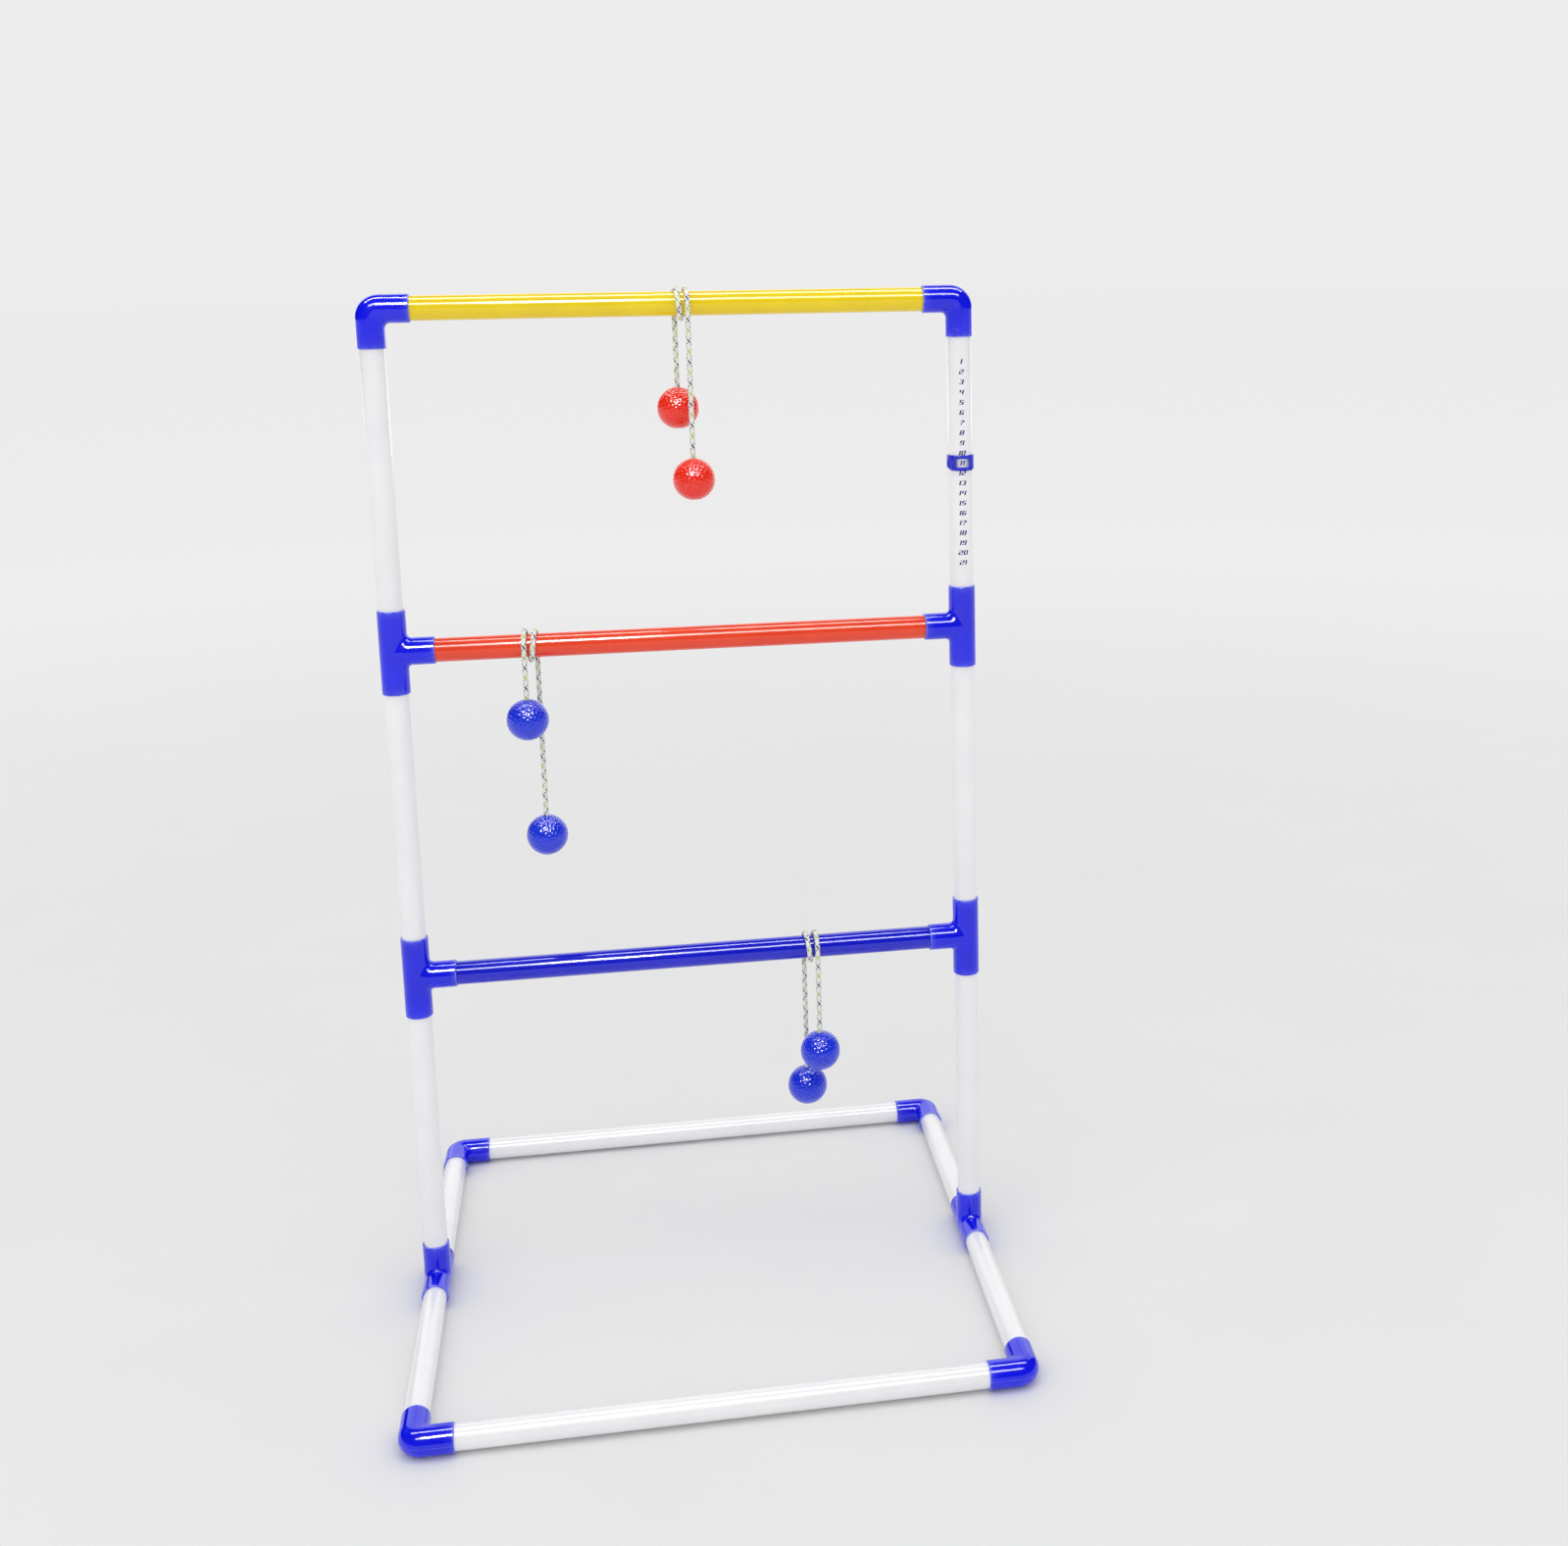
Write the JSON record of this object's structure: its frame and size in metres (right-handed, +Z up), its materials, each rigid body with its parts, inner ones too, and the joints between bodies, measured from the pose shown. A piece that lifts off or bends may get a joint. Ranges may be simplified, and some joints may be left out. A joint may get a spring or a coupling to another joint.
{
  "type": "ladder toss frame",
  "caption": "Free-standing ladder toss target of push-fit plastic tube with coloured rungs, a sliding score clip and bolas hung on the rungs.",
  "frame": {"origin": "on the ground, under the middle of the frame", "axes": "+Z up, X along the rungs, -Y towards the front, where the score numbers face"},
  "size_m": [0.6123, 0.62, 1.063],
  "materials": {
    "tube_white": "smooth white extruded plastic tube",
    "rung_yellow": "smooth yellow plastic tube",
    "rung_orange_red": "smooth orange-red plastic tube",
    "rung_blue": "smooth blue plastic tube",
    "fitting_blue": "glossy moulded plastic",
    "slider_blue": "glossy moulded plastic",
    "ball_red": "glossy dimpled ball",
    "ball_blue": "glossy dimpled ball",
    "rope": "braided cord, white with yellow-green and navy flecks"
  },
  "bodies": {
    "root": {"top_rung": "rung_yellow", "middle_rung": "rung_orange_red", "bottom_rung": "rung_blue", "left_upright_lower": "tube_white", "left_upright_middle": "tube_white", "left_upright_upper": "tube_white", "right_upright_lower": "tube_white", "right_upright_middle": "tube_white", "right_upright_upper": "tube_white", "left_front_base_tube": "tube_white", "left_rear_base_tube": "tube_white", "right_front_base_tube": "tube_white", "right_rear_base_tube": "tube_white", "front_rail": "tube_white", "rear_rail": "tube_white", "left_top_elbow": "fitting_blue", "right_top_elbow": "fitting_blue", "front_left_elbow": "fitting_blue", "front_right_elbow": "fitting_blue", "rear_left_elbow": "fitting_blue", "rear_right_elbow": "fitting_blue", "left_middle_tee": "fitting_blue", "right_middle_tee": "fitting_blue", "left_bottom_tee": "fitting_blue", "right_bottom_tee": "fitting_blue", "left_base_tee": "fitting_blue", "right_base_tee": "fitting_blue"},
    "score_slider": {"score_slider": "slider_blue"},
    "top_bola": {"top_bola_rope": "rope", "top_bola_front_ball": "ball_red", "top_bola_rear_ball": "ball_red", "top_bola_front_knot": "rope", "top_bola_rear_knot": "rope"},
    "middle_bola": {"middle_bola_rope": "rope", "middle_bola_front_ball": "ball_blue", "middle_bola_rear_ball": "ball_blue", "middle_bola_front_knot": "rope", "middle_bola_rear_knot": "rope"},
    "bottom_bola": {"bottom_bola_rope": "rope", "bottom_bola_front_ball": "ball_blue", "bottom_bola_rear_ball": "ball_blue", "bottom_bola_front_knot": "rope", "bottom_bola_rear_knot": "rope"}
  },
  "joints": [
    {"name": "score_slide", "type": "slide", "parent": "root", "child": "score_slider", "axis": [0, 0, 1], "range_m": [-0.12, 0.12]},
    {"name": "top_bola_swing", "type": "hinge", "parent": "root", "child": "top_bola", "pos_m": [0.009, 0, 1.0455], "axis": [1, 0, 0], "range_deg": [-60, 60]},
    {"name": "middle_bola_swing", "type": "hinge", "parent": "root", "child": "middle_bola", "pos_m": [-0.157, 0, 0.704], "axis": [1, 0, 0], "range_deg": [-60, 60]},
    {"name": "bottom_bola_swing", "type": "hinge", "parent": "root", "child": "bottom_bola", "pos_m": [0.121, 0, 0.358], "axis": [1, 0, 0], "range_deg": [-60, 60]}
  ]
}
